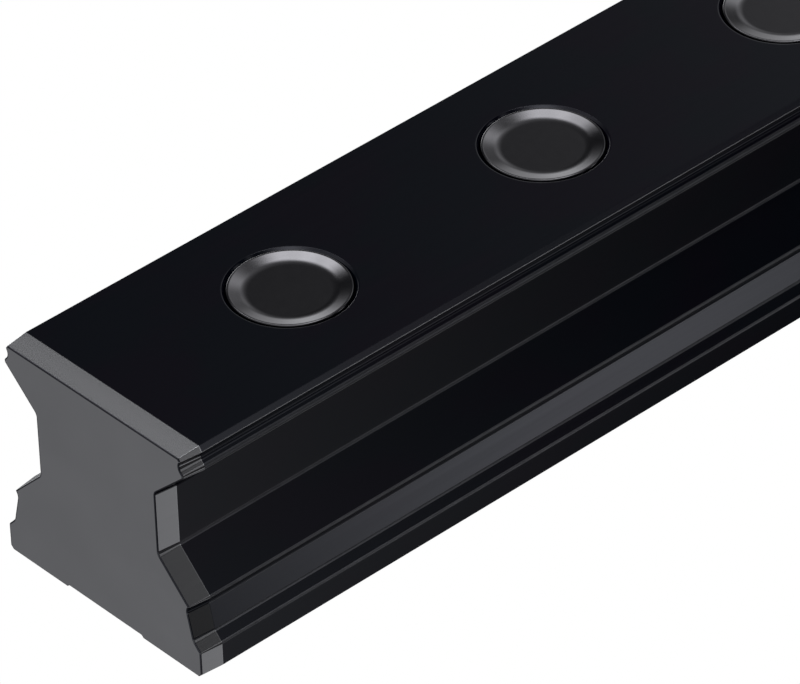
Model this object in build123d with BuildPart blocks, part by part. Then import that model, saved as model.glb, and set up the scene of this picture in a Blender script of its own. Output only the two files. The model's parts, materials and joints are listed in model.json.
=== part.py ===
from build123d import *
import os

# Roller guide rail: a ground steel profile rail with a black surface coating, drilled and
# counterbored from the top, its holes closed with pressed-in dished plugs.
# Millimetres. +X runs along the rail, +Z is up, and the origin is the middle of the underside.

# Rail as ordered
rail_length = 500.0
hole_pitch = 40.0
least_end_distance = 20.0

# Bolt holes
bolt_hole_diameter = 9.0
counterbore_diameter = 15.0
counterbore_depth = 12.0
mouth_chamfer = 0.35

# Section, widths across the rail
base_width = 34.0
top_width = 29.7
web_width = 21.0
relief_width = 12.4

# Section, steps on each side: the lip out from the side edge, the others in from the base's side
lip_overhang = 0.3
ledge_setback = 1.57
neck_setback = 1.95
neck_foot_setback = 1.1

# Section, heights above the underside, and drops below the top
rail_height = 30.8
top_chamfer = 0.5
lip_drop = 2.65
ledge_height = 9.55
neck_height = 8.6
neck_foot_height = 4.95
foot_chamfer = 0.65
groove_depth = 0.4
relief_depth = 0.3

# Section, roundings
raceway_fillet = 0.7
ledge_round = 0.45
edge_round = 0.15

# Ends, ground back all round so that a carriage runs on without catching its seals
lead_in_length = 3.0
lead_in_inset = 0.4

# Hole plug
plug_clearance = 0.03
plug_height = 3.4
plug_below_top = 0.1
plug_dish_depth = 0.35
plug_floor_diameter = 10.4

# Worked out from the sizes above
hole_count = int((rail_length - 2 * least_end_distance) / hole_pitch) + 1
hole_span = (hole_count - 1) * hole_pitch
hole_centres = [n * hole_pitch - hole_span / 2 for n in range(hole_count)]
plug_diameter = counterbore_diameter - 2 * plug_clearance


def corners(sketch, *points):
    """The sketch's vertices nearest to the points, and to their mirror images."""
    return [sketch.vertices().sort_by_distance((side * p.X, p.Y))[0] for p in points for side in (-1, 1)]


def rail_section(plane, inset):
    """The rail's cross-section on a plane, drawn in all round by the inset."""
    side_edge = Vector(top_width / 2 + top_chamfer, rail_height - top_chamfer)
    lip = Vector(side_edge.X + lip_overhang, rail_height - lip_drop)
    web_top = Vector(web_width / 2, lip.Y - (lip.X - web_width / 2))
    ledge = Vector(base_width / 2 - ledge_setback, ledge_height)
    web_bottom = Vector(web_width / 2, ledge.Y + (ledge.X - web_width / 2))
    neck = Vector(base_width / 2 - neck_setback, neck_height)
    neck_foot = Vector(base_width / 2 - neck_foot_setback, neck_foot_height)
    base_edge = Vector(base_width / 2, neck_foot_height - neck_foot_setback)

    with BuildSketch(plane) as section:
        with BuildLine():
            Polyline((0, rail_height), (top_width / 2, rail_height), side_edge)
            # Shallow wiper groove down to the lip
            SagittaArc(side_edge, lip, -groove_depth)
            # Upper raceway, web and lower raceway, both raceways at 45 degrees
            Polyline(lip, web_top, web_bottom, ledge)
            # Undercut below the ledge runs tangent into the leaning neck
            TangentArc(neck, ledge, tangent=neck - neck_foot)
            Polyline(
                neck,
                neck_foot,
                base_edge,
                (base_width / 2, foot_chamfer),
                (base_width / 2 - foot_chamfer, 0),
                (relief_width / 2 + relief_depth, 0),
                (relief_width / 2, relief_depth),
                (0, relief_depth),
            )
            mirror(about=Plane.YZ)
        make_face()
        if inset:
            offset(amount=-inset, kind=Kind.INTERSECTION)
        fillet(corners(section, web_top, web_bottom), radius=raceway_fillet + inset)
        fillet(corners(section, ledge), radius=edge_round if inset else ledge_round)
        fillet(corners(section, side_edge, lip, neck_foot, base_edge), radius=edge_round)
    return section.sketch


# Rail
end = rail_length / 2
body_end = end - lead_in_length
with BuildPart() as rail:
    extrude(rail_section(Plane.YZ.offset(-body_end), 0), amount=2 * body_end)
    for side in (-1, 1):
        whole = rail_section(Plane.YZ.offset(side * body_end), 0)
        drawn_in = rail_section(Plane.YZ.offset(side * end), lead_in_inset)
        loft([whole, drawn_in], ruled=True)
    with Locations(Plane.XY.offset(rail_height)):
        with GridLocations(hole_pitch, hole_pitch, hole_count, 1):
            CounterBoreHole(bolt_hole_diameter / 2, counterbore_diameter / 2, counterbore_depth)
    mouths = rail.edges().filter_by(GeomType.CIRCLE).group_by(Axis.Z)[-1]
    chamfer(mouths, length=mouth_chamfer)
rail.part.label = "rail"


def hole_plug(x):
    """A plug pressed into the counterbore at x: a dish in its top, and its rim just under the rail's top."""
    radius = plug_diameter / 2
    rim = rail_height - plug_below_top
    hole_axis = Plane((x, 0, rim), x_dir=(1, 0, 0), z_dir=(0, -1, 0))
    with BuildPart() as plug:
        with BuildSketch(hole_axis):
            with BuildLine():
                Polyline(
                    (0, -plug_dish_depth),
                    (plug_floor_diameter / 2, -plug_dish_depth),
                    (radius, 0),
                    (radius, -plug_height),
                    (0, -plug_height),
                    close=True,
                )
            make_face()
        revolve(axis=Axis((x, 0, 0), (0, 0, 1)))
    return plug.part


# Files, one for each piece
os.makedirs("parts", exist_ok=True)
export_step(rail.part, "parts/rail.step")
for number, x in enumerate(hole_centres, start=1):
    plug = hole_plug(x)
    plug.label = f"plug_{number:02d}"
    export_step(plug, f"parts/{plug.label}.step")
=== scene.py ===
import json
import math

import bmesh
import bpy
import numpy as np
from mathutils import Matrix, Vector

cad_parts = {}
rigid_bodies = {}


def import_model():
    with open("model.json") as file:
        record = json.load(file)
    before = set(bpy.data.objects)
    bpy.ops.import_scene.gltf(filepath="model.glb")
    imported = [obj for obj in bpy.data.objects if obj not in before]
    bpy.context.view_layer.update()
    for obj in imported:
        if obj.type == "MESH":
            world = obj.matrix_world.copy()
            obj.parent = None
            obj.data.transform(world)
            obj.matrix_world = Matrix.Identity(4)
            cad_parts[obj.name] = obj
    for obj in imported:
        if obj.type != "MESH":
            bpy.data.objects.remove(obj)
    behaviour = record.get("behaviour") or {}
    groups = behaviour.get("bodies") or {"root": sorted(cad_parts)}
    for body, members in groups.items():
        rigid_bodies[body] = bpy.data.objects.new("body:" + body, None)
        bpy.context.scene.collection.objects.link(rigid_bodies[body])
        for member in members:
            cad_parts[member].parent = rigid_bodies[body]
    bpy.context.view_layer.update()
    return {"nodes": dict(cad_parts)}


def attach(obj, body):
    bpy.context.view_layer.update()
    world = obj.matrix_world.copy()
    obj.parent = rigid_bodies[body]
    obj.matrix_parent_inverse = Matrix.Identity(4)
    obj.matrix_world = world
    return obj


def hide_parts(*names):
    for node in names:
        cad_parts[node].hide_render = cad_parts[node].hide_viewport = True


for leftover in list(bpy.data.objects):
    bpy.data.objects.remove(leftover)
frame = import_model()
print("frame loaded:", len(frame["nodes"]), "nodes")

mm = 0.001  # the sizes below are in millimetres, the meshes in metres

# The view of the photograph: a long lens looking down along the rail's near end
view = {
    "aim": (-216.867, -15.050, 29.310),  # the point in the middle of the picture
    "azimuth": -41.653,                  # degrees, seen from the near end's right
    "elevation": 36.980,
    "roll": -1.918,
    "distance": 804.68,
    "lens": 319.800,
}


def placeCamera(view):
    az, el, roll = (math.radians(view[k]) for k in ("azimuth", "elevation", "roll"))
    back = Vector((math.sin(az) * math.cos(el), -math.cos(az) * math.cos(el), math.sin(el)))
    level = Vector((math.cos(az), math.sin(az), 0))
    up = back.cross(level)
    across = level * math.cos(roll) + up * math.sin(roll)
    upward = up * math.cos(roll) - level * math.sin(roll)
    place = Vector(view["aim"]) * mm + back * view["distance"] * mm
    camera = bpy.data.cameras.new("viewCamera")
    camera.lens = view["lens"]
    camera.clip_start, camera.clip_end = 0.05, 50
    holder = bpy.data.objects.new("viewCamera", camera)
    holder.matrix_world = Matrix((across, upward, back)).transposed().to_4x4()
    holder.location = place
    bpy.context.scene.collection.objects.link(holder)
    bpy.context.scene.camera = holder


placeCamera(view)
print("camera placed")


# Mesh helpers

def weldPoints(points, faces, grain=1e-6):
    # Points that round to the same place become one, and a face forgets a corner that repeats
    keys = np.round(points / grain).astype(np.int64)
    _, first, back = np.unique(keys, axis=0, return_index=True, return_inverse=True)
    back = back.reshape(-1)
    welded = []
    for face in faces:
        ids = back[face]
        ids = ids[ids != np.roll(ids, 1)]
        if len(ids) > 2:
            welded.append(ids.tolist())
    return points[first], welded, first


def makePiece(name, points, faces, marks=None, sharpAngle=32):
    # marks are numbers kept at every point, such as the wear of an edge with its painted highlight, for the
    # materials to read
    points, faces, first = weldPoints(points, faces)
    mesh = bpy.data.meshes.new(name)
    mesh.from_pydata((points * mm).tolist(), [], faces)
    shell = bmesh.new()
    shell.from_mesh(mesh)
    bmesh.ops.recalc_face_normals(shell, faces=shell.faces)
    print(name, "faces", len(faces), "open edges", sum(not e.is_manifold for e in shell.edges))
    shell.to_mesh(mesh)
    shell.free()
    for key, values in (marks or {}).items():
        mesh.attributes.new(key, "FLOAT", "POINT").data.foreach_set("value", values[first].astype(np.float32))
    mesh.polygons.foreach_set("use_smooth", np.ones(len(mesh.polygons), bool))
    mesh.set_sharp_from_angle(angle=math.radians(sharpAngle))
    mesh.update()
    piece = bpy.data.objects.new(name, mesh)
    bpy.context.scene.collection.objects.link(piece)
    return piece


def gridFaces(rows, columns, start=0, wrap=False):
    # Quads between neighbouring rows and columns of a grid that is stored row by row
    r, c = np.meshgrid(np.arange(rows - 1), np.arange(columns if wrap else columns - 1), indexing="ij")
    a, b = r * columns + c, r * columns + (c + 1) % columns
    return list(start + np.stack([a, b, b + columns, a + columns], -1).reshape(-1, 4))


# The rail's outline, right half, from the top edge down to the foot: y out from the middle, z up
rail = {
    "length": 500.0,
    "height": 30.8,
    "topHalf": 14.79,          # flat top, half width
    "sideEdge": (15.28, 30.13),
    "groove": (14.86, 29.21),  # where the two sides of the groove would meet, above its round bottom
    "lip": (15.96, 28.11),
    "webTop": (10.5, 23.0),
    "webBottom": (10.5, 14.48),
    "ledge": (15.564, 9.416),
    "neck": (15.085, 8.45),
    "notchRadius": 0.85,       # hollow arc from ledge to neck
    "neckFoot": (15.88, 5.03),
    "baseEdge": (17.0, 3.85),
    "foot": (17.0, 0.65),
    "footFlat": (16.35, 0.0),
    "reliefEdge": (6.5, 0.0),
    "reliefFloor": (6.2, 0.3),
    "leadIn": 3.0,             # length of each drawn-in end
    "leadInset": 0.34,
    "footInset": 0.16,         # the underside is drawn in less
    "footZone": 2.0,           # everything lower than this belongs to it
    "endRound": 0.10,          # broken edge round the end faces
    "endRim": 0.07,            # the coat reaches this far over each end face
}
corners = {  # in order down the side: the radius of each corner, and how far its coat is rubbed off, 0 to 1, which also paints a highlight line along it
    "top": (0.04, 0.0),
    "sideEdge": (0.14, 1.0),
    "groove": (0.73, 0.0),
    "lip": (0.80, 0.12),
    "webTop": (0.70, 0.0),
    "webBottom": (0.70, 0.12),
    "ledge": (0.45, 0.2),
    "neck": (0.0, 0.25),
    "neckFoot": (0.80, 0.15),
    "baseEdge": (0.60, 0.2),
    "foot": (0.12, 0.12),
    "footFlat": (0.12, 0.1),
    "reliefEdge": (0.05, 0.0),
    "reliefFloor": (0.08, 0.0),
}
holes = {
    "pitch": 40.0,
    "count": 12,
    "boltRadius": 4.5,
    "boreRadius": 7.5,
    "boreDepth": 12.0,
    "mouthChamfer": 0.35,
    "topCell": 14.0,           # half width of a hole's cell in the top, and in the underside
    "footCell": 5.6,
    "turns": 96,               # points round one hole
}


def unit(vectors):
    return vectors / np.linalg.norm(vectors, axis=-1, keepdims=True)


def circleThrough(start, end, bulge):
    # Centre and radius of the circle through two points whose arc sinks by bulge into the rail
    half = (end - start) / 2
    reach = np.linalg.norm(half)
    outward = np.array([-half[1], half[0]]) / reach
    radius = (reach ** 2 + bulge ** 2) / (2 * bulge)
    return start + half + outward * (radius - bulge), radius


def between(first, last, steps):
    # Unit vectors that turn evenly from first to last
    t = np.linspace(0, 1, steps + 1)[None, :, None]
    turn = np.arccos(np.clip((first * last).sum(-1), -1, 1))[:, None, None]
    return (np.sin((1 - t) * turn) * first[:, None] + np.sin(t * turn) * last[:, None]) / np.sin(turn)


def outline(insets, roundSteps=7, notchSteps=12, support=0.05, leastRadius=0.08):
    # The outline drawn in by each inset, one row of points for each. Lines move in along their normals
    # and the hollow arc of the notch gains radius. The centre of a corner's rounding is where that corner
    # lies when the outline is drawn in by its radius as well, and its points turn from the normal of one
    # side to the normal of the other. A flat has a point close to each end, so its shading stays flat.
    corner = {k: np.array(rail[k], float) for k in corners if k in rail}
    corner["top"] = np.array([rail["topHalf"], rail["height"]])
    middles = [np.array([0, z]) for z in (rail["height"], corner["reliefFloor"][1])]
    chain = [middles[0]] + [corner[k] for k in corners] + [middles[1]]
    normals = [np.array([-v[1], v[0]]) for v in unit(np.diff(chain, axis=0))]
    side = dict(zip(corners, zip(normals, normals[1:])))        # normals before and after each corner
    reach = np.linalg.norm(corner["neck"] - corner["ledge"]) / 2
    notchBulge = rail["notchRadius"] - math.sqrt(rail["notchRadius"] ** 2 - reach ** 2)
    notch, notchRadius = circleThrough(corner["ledge"], corner["neck"], notchBulge)
    i = np.asarray(insets, float)[:, None]

    def placeOf(name, inset):
        before, after = side[name]
        if name == "neck":
            return corner[name] - inset * after
        if name != "ledge":
            return corner[name] - inset * (before + after) / (1 + before @ after)
        # The ledge is where the slope above it meets the notch's circle
        along = np.array([before[1], -before[0]])
        start = corner[name] - inset * before - notch
        b = (start * along).sum(-1, keepdims=True)
        c = (start ** 2).sum(-1, keepdims=True) - (notchRadius + inset) ** 2
        sign = np.sign((corner[name] - notch) @ along)
        return notch + start + along * (sign * np.sqrt(b * b - c) - b)

    pieces = []
    for name, (radius, _) in corners.items():
        before, after = side[name]
        if not radius:
            pieces.append(placeOf(name, i)[:, None])
        elif before[0] * after[1] - before[1] * after[0] < 0:   # sticks out
            radius = np.maximum(radius - i, min(radius / 2, leastRadius))
            centre = placeOf(name, i + radius)
            ends = [np.broadcast_to(n, centre.shape) for n in (before, after)]
            if name == "ledge":
                ends[1] = unit(notch - centre)
            pieces.append(centre[:, None] + radius[..., None] * between(*ends, roundSteps))
        else:                                                   # hollow
            centre = placeOf(name, 0 * i - radius)
            ends = [np.broadcast_to(n, centre.shape) for n in (before, after)]
            pieces.append(centre[:, None] - (radius + i)[..., None] * between(*ends, roundSteps))

    def flatEnds(last, first):
        step = (first - last) * support / np.linalg.norm(first - last, axis=-1, keepdims=True)
        return [last + step, first - step]

    row, wearAndHighlight = [pieces[0][:, :1] - [support, 0]], [[0]]
    for k, (name, points) in enumerate(zip(corners, pieces)):
        row.append(points)
        # Wear, and the highlight it paints, swells from nothing at the ends of a rounding to the corner's own
        # in its middle
        turn = np.linspace(0, math.pi, points.shape[1]) if points.shape[1] > 1 else np.array([math.pi / 2])
        wearAndHighlight.append(corners[name][1] * np.sin(turn) ** 0.6)
        if name == "ledge":
            ends = [unit(p - notch) for p in (points[:, -1], pieces[k + 1][:, 0])]
            row.append((notch + (notchRadius + i)[..., None] * between(*ends, notchSteps))[:, 1:-1])
            wearAndHighlight.append(np.zeros(notchSteps - 1))
        elif k + 1 < len(pieces) and np.linalg.norm(pieces[k + 1][0, 0] - points[0, -1]) > 4 * support:
            row += flatEnds(points[:, -1:], pieces[k + 1][:, :1])
            wearAndHighlight.append([0, 0])
    row.append(pieces[-1][:, -1:] - [support, 0])
    wearAndHighlight.append([0])
    return np.concatenate(row, 1), np.concatenate(wearAndHighlight)


holeSpan = (holes["count"] - 1) * holes["pitch"]
holeCentres = np.arange(holes["count"]) * holes["pitch"] - holeSpan / 2
cellEdges = np.append(holeCentres - holes["pitch"] / 2, holeCentres[-1] + holes["pitch"] / 2)
bodyEnd = rail["length"] / 2 - rail["leadIn"]


def stationsAlong(support=0.06):
    # Where the outline is repeated along the rail, and how far it is drawn in there: on both sides of the
    # bend into the taper, then round the broken edge of the end face, and last over the face for its rim
    bend = np.linspace(0, math.pi / 2, 5)
    radius = rail["endRound"]
    taper = rail["leadInset"] / rail["leadIn"]
    x = rail["length"] / 2 - radius * (1 - np.sin(bend))
    inset = (x - bodyEnd) * taper + radius * (1 - np.cos(bend))
    endX = np.concatenate([[bodyEnd - support, bodyEnd, bodyEnd + support, x[0] - support], x, x[-1:]])
    endInset = np.concatenate([[0, 0, support * taper, (x[0] - support - bodyEnd) * taper],
                               inset, inset[-1:] + rail["endRim"]])
    allX = np.concatenate([-endX[::-1], cellEdges, endX])
    allInset = np.concatenate([endInset[::-1], np.zeros(len(cellEdges)), endInset])
    return allX, allInset


def holeCell(x, ring, halfWidth, z):
    # From a circle (blend 0) to the cell's rectangle (blend 1), each ray keeping its place in turn
    turns = holes["turns"]
    angle = np.arange(turns) / turns * 2 * math.pi + math.pi / 4
    t = np.arange(turns) % (turns // 4) / (turns // 4)
    halfX = holes["pitch"] / 2
    side = np.arange(turns) // (turns // 4)
    across, still = 1 - 2 * t, np.ones(turns)
    frameX = halfX * np.choose(side, [across, -still, -across, still])
    frameY = halfWidth * np.choose(side, [still, across, -still, -across])
    blend = np.array([0, 0.012, 0.12, 0.35, 0.65, 1.0])[:, None]        # the first step keeps the mouth crisp
    px = ring * np.cos(angle) * (1 - blend) + frameX * blend
    py = ring * np.sin(angle) * (1 - blend) + frameY * blend
    return np.stack([px + x, py, np.full(px.shape, z)], -1).reshape(-1, 3), len(blend)


def boreWall(x, support=0.05):
    # The bore's profile of radius and height, turned about the hole's axis: the mouth's chamfer with its
    # two edges just broken, the bore, its floor and the bolt hole down to the underside
    top, edge = rail["height"], holes["boreRadius"] + holes["mouthChamfer"]
    bore, bolt = holes["boreRadius"], holes["boltRadius"]
    chamferEnd = top - holes["mouthChamfer"]
    floor = top - holes["boreDepth"]
    low = rail["reliefFloor"][1]
    profile = np.array([
        (edge, top), (edge - 0.02, top - 0.008), (edge - 0.04, top - 0.025),
        (bore + 0.03, chamferEnd + 0.015), (bore + 0.01, chamferEnd - 0.01), (bore, chamferEnd - support),
        (bore, floor + support), (bore, floor), (bore - support, floor),
        (bolt + support, floor), (bolt, floor), (bolt, floor - support),
        (bolt, low + support), (bolt, low),
    ])
    turns = holes["turns"]
    angle = np.arange(turns) / turns * 2 * math.pi + math.pi / 4
    r, z = profile[:, :1], profile[:, 1:]
    points = np.stack([x + r * np.cos(angle), r * np.sin(angle), z + 0 * angle], -1)
    return points.reshape(-1, 3), len(profile)


def buildRail():
    xs, insets = stationsAlong()
    half, wearAndHighlightRow = outline(insets)
    section = np.concatenate([half, half[:, ::-1] * [-1, 1]], 1)
    body = len(xs) // 2                     # any row between the tapers
    girthRow = np.append(0, np.cumsum(np.linalg.norm(np.diff(half[body], axis=0), axis=1))) + half[body, 0, 0]
    lessInset = insets[:, None] * (1 - rail["footInset"] / rail["leadInset"])
    section[..., 1] -= np.where(section[..., 1] < rail["footZone"], lessInset, 0)
    rows, count = section.shape[:2]
    right = count // 2
    skin = np.concatenate([np.broadcast_to(xs[:, None, None], (rows, count, 1)), section], -1)
    points, faces, used = [skin.reshape(-1, 3)], [], rows * count
    wearAndHighlight = [np.tile(np.append(wearAndHighlightRow, wearAndHighlightRow[::-1]), rows)]
    # girth is the distance round the outline from the middle of the top
    girth = [np.tile(np.append(girthRow, girthRow[::-1]), rows)]
    for first in (0, right):
        ids = (np.arange(rows)[:, None] * count + first + np.arange(right)).reshape(-1)
        faces += [ids[f] for f in gridFaces(rows, right)]

    # Top and underside: strips at the ends, and between them one cell for each hole
    inside = np.abs(xs) <= cellEdges[-1] + 1e-6
    edgeColumns = {"top": (0, count - 1), "foot": (right - 1, right)}
    for row in np.flatnonzero(~(inside[:-1] | inside[1:])):
        for a, b in edgeColumns.values():
            faces.append(row * count + np.array([a, b, count + b, count + a]))
    faces += [np.arange(count), (rows - 1) * count + np.arange(count)]

    quarter = holes["turns"] // 4
    cells = {
        "top": (holes["boreRadius"] + holes["mouthChamfer"], rail["height"], holes["topCell"]),
        "foot": (holes["boltRadius"], rail["reliefFloor"][1], holes["footCell"]),
    }
    for name, (ring, z, halfWidth) in cells.items():
        plus, minus = edgeColumns[name]
        for n, x in enumerate(holeCentres):
            cell, rings = holeCell(x, ring, halfWidth, z)
            faces += gridFaces(rings, holes["turns"], used, wrap=True)
            rim = used + (rings - 1) * holes["turns"] + np.arange(4 * quarter + 1) % (4 * quarter)
            here = (int(np.flatnonzero(inside)[0]) + n) * count
            ahead, back = here + count, here - count
            faces.append(np.append(rim[:quarter + 1], [here + plus, ahead + plus]))
            faces.append(np.append(rim[2 * quarter:3 * quarter + 1], [ahead + minus, here + minus]))
            # The first and the last cell also reach to the next station outwards
            if n == 0:
                outer = [here + minus, back + minus, back + plus, here + plus]
                faces.append(np.append(rim[quarter:2 * quarter + 1], outer))
            if n == len(holeCentres) - 1:
                outer = [ahead + plus, ahead + count + plus, ahead + count + minus, ahead + minus]
                faces.append(np.append(rim[3 * quarter:], outer))
            points.append(cell)
            wearAndHighlight.append(np.zeros(len(cell)))
            fromMiddle = np.abs(cell[:, 1])
            girth.append(fromMiddle if name == "top" else girthRow[-1] + half[body, -1, 0] - fromMiddle)
            used += len(cell)
    for x in holeCentres:
        wall, rings = boreWall(x)
        faces += gridFaces(rings, holes["turns"], used, wrap=True)
        points.append(wall)
        wearAndHighlight.append(np.zeros(len(wall)))
        girth.append(wall[:, 2])
        used += len(wall)
    marks = {"wearAndHighlight": np.concatenate(wearAndHighlight), "girth": np.concatenate(girth)}
    return makePiece("railSkin", np.concatenate(points), faces, marks)


railSkin = buildRail()
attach(railSkin, "root")
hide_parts("rail")
print("rail built")

# Plugs: the slope at each radius is given here, and the height is its running sum from the middle out
plug = {
    "belowTop": 0.02,          # crest under the rail's top
    "height": 3.4,
    "radius": 7.42,
    "hub": 0.6,                # a flat disc closes the middle
    "flat": 4.85,              # the dish's floor reaches this far
    "slope": 6.9,              # and its slope this far, the rounded crest and the skirt lie further out
    "dishDepth": 0.42,
    "slopeRadii": (0.0, 4.85, 5.85, 7.00, 7.18, 7.32, 7.36, 7.42),
    "slopes": (0.0, 0.0, 1.0, 1.0, 0.0, -0.8, -2.6, -10.0),
    "turns": 96,
}


def plugSurface(x):
    # Radius and height of the profile, turned about the hole's axis
    edge = plug["radius"]
    r = np.concatenate([
        np.linspace(plug["hub"], plug["flat"] - 0.05, 4),
        np.linspace(plug["flat"], plug["slope"], 24),
        np.linspace(plug["slope"] + 0.03, edge, 30),
    ])
    slope = np.interp(r, plug["slopeRadii"], plug["slopes"])
    rise = np.append(0, np.cumsum((slope[1:] + slope[:-1]) / 2 * np.diff(r)))
    crest = int(np.argmax(rise))
    scale = plug["dishDepth"] / rise[crest]
    z = np.where(np.arange(len(r)) <= crest, (rise - rise[crest]) * scale, rise - rise[crest])
    low = -plug["height"]
    under = np.array([(edge, z[-1] - 0.06), (edge, low + 0.22), (edge - 0.05, low + 0.06),
                      (edge - 0.17, low), (edge - 0.27, low), (plug["hub"], low)])
    r, z = np.append(r, under[:, 0]), np.append(z, under[:, 1])
    angle = np.arange(plug["turns"]) / plug["turns"] * 2 * math.pi
    level = rail["height"] - plug["belowTop"]
    points = np.stack([x + r[:, None] * np.cos(angle), r[:, None] * np.sin(angle),
                       level + z[:, None] + 0 * angle], -1).reshape(-1, 3)
    faces = gridFaces(len(r), plug["turns"], wrap=True)
    faces += [np.arange(plug["turns"]), (len(r) - 1) * plug["turns"] + np.arange(plug["turns"])]
    return points, faces, {"spread": np.repeat(r, plug["turns"])}


plugs = []
for n, x in enumerate(holeCentres, 1):
    piece = makePiece(f"plugCap_{n:02d}", *plugSurface(x))
    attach(piece, "root")
    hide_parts(f"plug_{n:02d}")
    plugs.append(piece)
print("plugs built")


# Materials

coat = {
    "blueTone": (0.0006, 0.0019, 0.0050),    # the black coat leans to blue in places and to violet in others
    "violetTone": (0.0018, 0.0011, 0.0050),
    "patchSize": 9.0,                        # mm
    "bareAndHighlightTone": (0.52, 0.52, 0.54),          # steel that shows where an edge is rubbed, laid along the edges as painted highlight lines too
    "roughness": (0.095, 0.125),
    "lineBump": 0.03,
    "linePitch": 0.35,                       # mm
    "paintedTableGlowShine": (0.7, 0.5),                     # specular level below the notch, and above it: a painted glow of the white table on the lower part
    "tint": (0.88, 0.89, 1.0),               # of what it reflects
}
steel = {
    "tone": (0.59, 0.59, 0.61),
    # painted highlight: the steel is this light along its rounded edges, by the wear mark
    "highlightEdgeTone": (0.95, 0.95, 0.97),
    "roughness": (0.11, 0.14),
    "lineBump": 0.01,
    "linePitch": 0.22,
}
cutFace = {
    "tone": (0.48, 0.48, 0.50),
    "drift": 0.03,                           # share by which the tone drifts to both sides
    "roughness": (0.14, 0.18),
    "lineBump": 0.05,
}
gloss = {
    "tone": (0.0015, 0.0016, 0.0028),
    "reflect": 2.2,                          # index of refraction
    "roughness": (0.10, 0.13),
    "peelBump": 0.04,
    "shadedSkirt": (7.31, 7.35),                   # mm from the middle: from here out the plug reflects nothing, painted shade for the gap round it
    "tint": (0.97, 0.95, 1.0),
}


class Maker:
    # Short names for the nodes that the materials are made of
    def __init__(self, name):
        self.material = bpy.data.materials.new(name)
        self.material.use_nodes = True
        self.nodes, self.links = self.material.node_tree.nodes, self.material.node_tree.links
        self.shader = self.nodes["Principled BSDF"]

    def put(self, value, socket):
        if isinstance(value, bpy.types.NodeSocket):
            self.links.new(value, socket)
        else:
            socket.default_value = (*value, 1) if socket.type == "RGBA" else value

    def node(self, kind, output=0, settings=None, **inputs):
        # An input is given by its name, or by i and its number
        made = self.nodes.new(kind)
        for key, value in (settings or {}).items():
            setattr(made, key, value)
        for key, value in inputs.items():
            numbered = key[0] == "i" and key[1:].isdigit()
            self.put(value, made.inputs[int(key[1:]) if numbered else key])
        return made.outputs[output]

    def mark(self, name):
        return self.node("ShaderNodeAttribute", "Fac", {"attribute_name": name})

    def maths(self, operation, a, b=0.0):
        return self.node("ShaderNodeMath", 0, {"operation": operation}, i0=a, i1=b)

    def place(self, millimetres):
        # Object coordinates, divided by so many millimetres along each axis
        at = self.node("ShaderNodeTexCoord", "Object")
        return self.node("ShaderNodeVectorMath", 0, {"operation": "MULTIPLY"}, i0=at,
                         i1=tuple(1000 / v for v in millimetres))

    def noise(self, vector, detail=2.0, roughness=0.5):
        return self.node("ShaderNodeTexNoise", "Fac", None, Vector=vector, Scale=1.0,
                         Detail=detail, Roughness=roughness)

    def spread(self, value, low, high, start=0.3, end=0.7):
        return self.node("ShaderNodeMapRange", 0, None, i0=value, i1=start, i2=end, i3=low, i4=high)

    def blend(self, factor, a, b):
        mixed = self.nodes.new("ShaderNodeMix")
        mixed.data_type = "RGBA"
        self.put(factor, mixed.inputs["Factor"])
        self.put(a, mixed.inputs[6])
        self.put(b, mixed.inputs[7])
        return mixed.outputs[2]

    def bump(self, height, strength, depth=0.00002):
        made = self.nodes.new("ShaderNodeBump")
        made.inputs["Strength"].default_value = strength
        made.inputs["Distance"].default_value = depth
        self.links.new(height, made.inputs["Height"])
        self.links.new(made.outputs[0], self.shader.inputs["Normal"])

    def finish(self, **sockets):
        for key, value in sockets.items():
            self.put(value, self.shader.inputs[key.replace("_", " ")])
        return self.material


def groundLines(m, pitch, length=60.0):
    # Fine lines from the grinding wheel: noise that is short across the outline and long along the rail
    apart = m.node("ShaderNodeSeparateXYZ", 0, None, i0=m.place((length, 1, 1)))
    across = m.maths("MULTIPLY", m.mark("girth"), 1 / pitch)
    return m.noise(m.node("ShaderNodeCombineXYZ", 0, None, X=apart, Y=across, Z=0.0), 4.0, 0.6)


def blackCoat():
    m = Maker("blackCoat")
    size = coat["patchSize"]
    lines = groundLines(m, coat["linePitch"])
    patches = m.noise(m.place((size * 1.6, size, size)), 2.0)
    tone = m.blend(m.spread(patches, 0, 1, 0.42, 0.58), coat["blueTone"], coat["violetTone"])
    chips = m.spread(m.noise(m.place((2.2, 0.6, 0.6)), 3.0), 0.75, 1.15)        # wear and its painted highlight come and go
    # rubbed edges: steel tone and metal along the rounded edges, partly real wear and partly a painted
    # highlight line
    wearAndHighlight = m.maths("MULTIPLY", m.mark("wearAndHighlight"), chips)
    height = m.node("ShaderNodeSeparateXYZ", 2, None, i0=m.place((1, 1, 1)))
    m.bump(lines, coat["lineBump"])
    # painted reflection: the coat reflects more below the notch, standing in for the white table's glow
    return m.finish(Base_Color=m.blend(wearAndHighlight, tone, coat["bareAndHighlightTone"]), Metallic=wearAndHighlight,
                    Specular_IOR_Level=m.spread(height, *coat["paintedTableGlowShine"], rail["neck"][1], rail["ledge"][1]),
                    Roughness=m.spread(lines, *coat["roughness"]), Specular_Tint=coat["tint"])


def bareSteel():
    m = Maker("bareSteel")
    lines = groundLines(m, steel["linePitch"], 12.0)
    # painted highlight: lighter steel along the rounded edges where the wear mark is set
    tone = m.blend(m.mark("wearAndHighlight"), steel["tone"], steel["highlightEdgeTone"])
    m.bump(lines, steel["lineBump"])
    return m.finish(Base_Color=tone, Metallic=1.0, Roughness=m.spread(lines, *steel["roughness"]))


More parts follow.
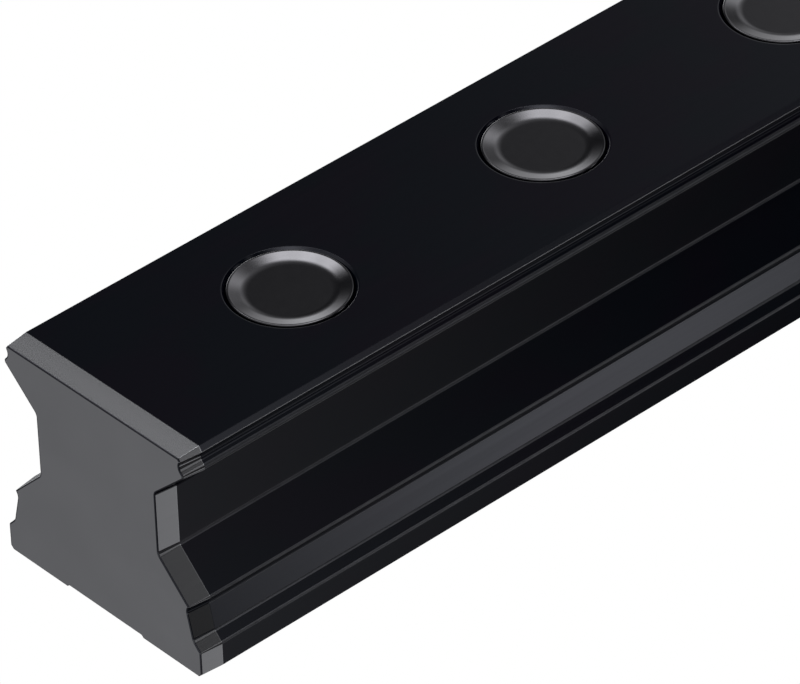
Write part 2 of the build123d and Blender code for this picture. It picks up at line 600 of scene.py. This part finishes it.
def cutSteel():
    # The end faces: the strokes of the saw run across
    m = Maker("cutSteel")
    strokes = m.noise(m.place((8.0, 14.0, 0.3)), 4.0, 0.6)
    cloud = m.noise(m.place((6.0, 9.0, 7.0)), 3.0)
    darker, lighter = (tuple(v * share for v in cutFace["tone"])
                       for share in (1 - cutFace["drift"], 1 + cutFace["drift"]))
    tone = m.blend(m.spread(cloud, 0, 1), darker, lighter)
    m.bump(strokes, cutFace["lineBump"])
    return m.finish(Base_Color=tone, Metallic=1.0, Roughness=m.spread(strokes, *cutFace["roughness"]))


def plugGloss():
    # Faint rings round the middle, and a faint orange peel
    m = Maker("plugGloss")
    outward = m.maths("MULTIPLY", m.mark("spread"), 3.0)
    turned = m.noise(m.node("ShaderNodeCombineXYZ", 0, None, X=outward, Y=0.0, Z=0.0), 3.0)
    peel = m.noise(m.place((0.9, 0.9, 0.9)), 2.0)
    m.bump(m.maths("ADD", turned, peel), gloss["peelBump"])
    # painted shade: the plug's outer fall reflects nothing, so the gap round it stays black
    return m.finish(Base_Color=gloss["tone"], IOR=gloss["reflect"],
                    Roughness=m.spread(peel, *gloss["roughness"]),
                    Specular_IOR_Level=m.spread(m.mark("spread"), 0.5, 0.0, *gloss["shadedSkirt"]),
                    Specular_Tint=gloss["tint"])


def finishOfFaces(mesh):
    # 0 coat, 1 ground steel on the drawn-in ends, 2 the cut end faces. On the drawn-in ends the coat is kept as
    # painted shade in the undercut below the lip, the notch below the ledge and the creases above the two
    # slopes, and the broken edge and rim of the end faces are coated too.
    count = len(mesh.polygons)
    centre, normal, sides = np.zeros(count * 3), np.zeros(count * 3), np.zeros(count, np.int32)
    mesh.polygons.foreach_get("loop_total", sides)
    mesh.polygons.foreach_get("center", centre)
    mesh.polygons.foreach_get("normal", normal)
    x, y, z = np.abs(centre.reshape(-1, 3).T / mm)
    facing = normal.reshape(-1, 3)

    def within(value, low, high):
        return (value > low) & (value < high)

    bare = x > bodyEnd + 0.001
    # painted shade: these hollows keep the black coat where shade falls on the drawn-in ends
    undercutShade = within(z, rail["webTop"][1] - 0.1, rail["lip"][1] + 0.2) & (facing[:, 2] < -0.3)
    notch = within(z, rail["neck"][1] + 0.02, rail["ledge"][1] - 0.02) & within(y, 14, rail["ledge"][0] + 0.1)
    overWeb, overFoot = z - rail["webBottom"][1], z - rail["neckFoot"][1]
    creaseShade = (within(overWeb, 0.09, 0.3) & (y < 11.3)) | (within(overFoot, 0, 0.25) & (y > 14))
    broken = x > rail["length"] / 2 - rail["endRound"] - 0.05
    cut = (np.abs(facing[:, 0]) > 0.999) & (sides > 4)
    ground = bare & ~undercutShade & ~notch & ~creaseShade & ~broken
    return np.where(cut, 2, np.where(ground, 1, 0)) * bare


for finish in (blackCoat(), bareSteel(), cutSteel()):
    railSkin.data.materials.append(finish)
railSkin.data.polygons.foreach_set("material_index", finishOfFaces(railSkin.data).astype(np.int32))
plugFinish = plugGloss()
for piece in plugs:
    piece.data.materials.append(plugFinish)
print("materials done")

# The studio: soft glows all round, each azimuth, elevation and width in degrees, and a strength
glows = [
    (64, -4, 10.5, 6.4),
    (16, 69, 4.5, 6.4),
    (-38, 17, 4.5, 6.4),
    (77, 51, 4.5, 4.0),
    (41, 67, 5.5, 3.7),
    (66, 61, 4.5, 3.3),
    (-62, 22, 4.0, 1.4),
    (-55, -16, 2.5, 1.2),
    (26, 39, 5.0, 1.1),
    (-65, 9, 4.5, 0.67),
    (41, 13, 5.0, 0.59),
    (5, -64, 10.0, 0.5),
    (38, 28, 4.5, 0.48),
    (-58, -39, 4.5, 0.42),
    (-57, 38, 4.0, 0.39),
    (-54, -30, 4.0, 0.29),
    (39, 51, 10.5, 0.23),
    (-32, -55, 4.5, 0.11),
    (-67, -14, 4.5, 0.047),
]
fills = [  # wide and faint, for the sides that the photograph doesn't show
    (-132, 53, 15.0, 1.5),
    (150, 25, 22.0, 0.6),
    (-160, 18, 24.0, 0.5),
    (-145, -25, 20.0, 0.6),
    (145, -38, 20.0, 0.26),
]
studio = {"base": 0.0001, "tint": (0.97, 0.98, 1.0)}


def direction(azimuth, elevation):
    a, e = math.radians(azimuth), math.radians(elevation)
    return math.cos(a) * math.cos(e), math.sin(a) * math.cos(e), math.sin(e)


def studioWorld():
    # Each glow is a round hump over direction: strength times e to the power of (cosine - 1) over width squared
    world = bpy.data.worlds.new("studio")
    world.use_nodes = True
    nodes, links = world.node_tree.nodes, world.node_tree.links
    nodes.clear()
    place = nodes.new("ShaderNodeTexCoord")

    def maths(operation, a, b):
        node = nodes.new("ShaderNodeMath")
        node.operation = operation
        for socket, value in zip(node.inputs, (a, b)):
            if isinstance(value, (int, float)):
                socket.default_value = value
            else:
                links.new(value, socket)
        return node.outputs[0]

    total = studio["base"]
    for azimuth, elevation, width, strength in glows + fills:
        dot = nodes.new("ShaderNodeVectorMath")
        dot.operation = "DOT_PRODUCT"
        links.new(place.outputs["Generated"], dot.inputs[0])
        dot.inputs[1].default_value = direction(azimuth, elevation)
        power = maths("MULTIPLY", maths("SUBTRACT", dot.outputs["Value"], 1.0), 1 / math.radians(width) ** 2)
        total = maths("ADD", maths("MULTIPLY", maths("EXPONENT", power, 0.0), strength), total)
    light = nodes.new("ShaderNodeBackground")
    light.inputs["Color"].default_value = (*studio["tint"], 1)
    links.new(total, light.inputs["Strength"])
    paper = nodes.new("ShaderNodeBackground")      # what the camera sees behind the object
    paper.inputs["Color"].default_value = (1, 1, 1, 1)
    mix, path = nodes.new("ShaderNodeMixShader"), nodes.new("ShaderNodeLightPath")
    links.new(path.outputs["Is Camera Ray"], mix.inputs["Fac"])
    links.new(light.outputs[0], mix.inputs[1])
    links.new(paper.outputs[0], mix.inputs[2])
    out = nodes.new("ShaderNodeOutputWorld")
    links.new(mix.outputs[0], out.inputs["Surface"])
    bpy.context.scene.world = world


def paleFloor(size=3.0, drop=0.00005):
    # A lit white table: it throws no light of its own on the part
    mesh = bpy.data.meshes.new("floor")
    square = [(-size, -size, -drop), (size, -size, -drop), (size, size, -drop), (-size, size, -drop)]
    mesh.from_pydata(square, [], [(0, 1, 2, 3)])
    floor = bpy.data.objects.new("floor", mesh)
    bpy.context.scene.collection.objects.link(floor)
    material = bpy.data.materials.new("whiteTable")
    material.use_nodes = True
    nodes, links = material.node_tree.nodes, material.node_tree.links
    nodes.clear()
    glow, out = nodes.new("ShaderNodeEmission"), nodes.new("ShaderNodeOutputMaterial")
    glow.inputs["Color"].default_value = (1, 1, 1, 1)
    links.new(glow.outputs[0], out.inputs["Surface"])
    mesh.materials.append(material)
    floor.visible_diffuse = floor.visible_glossy = floor.visible_shadow = False


studioWorld()
paleFloor()
bpy.context.scene.view_settings.view_transform = "Standard"
bpy.context.scene.view_settings.look = "None"
print("studio ready")
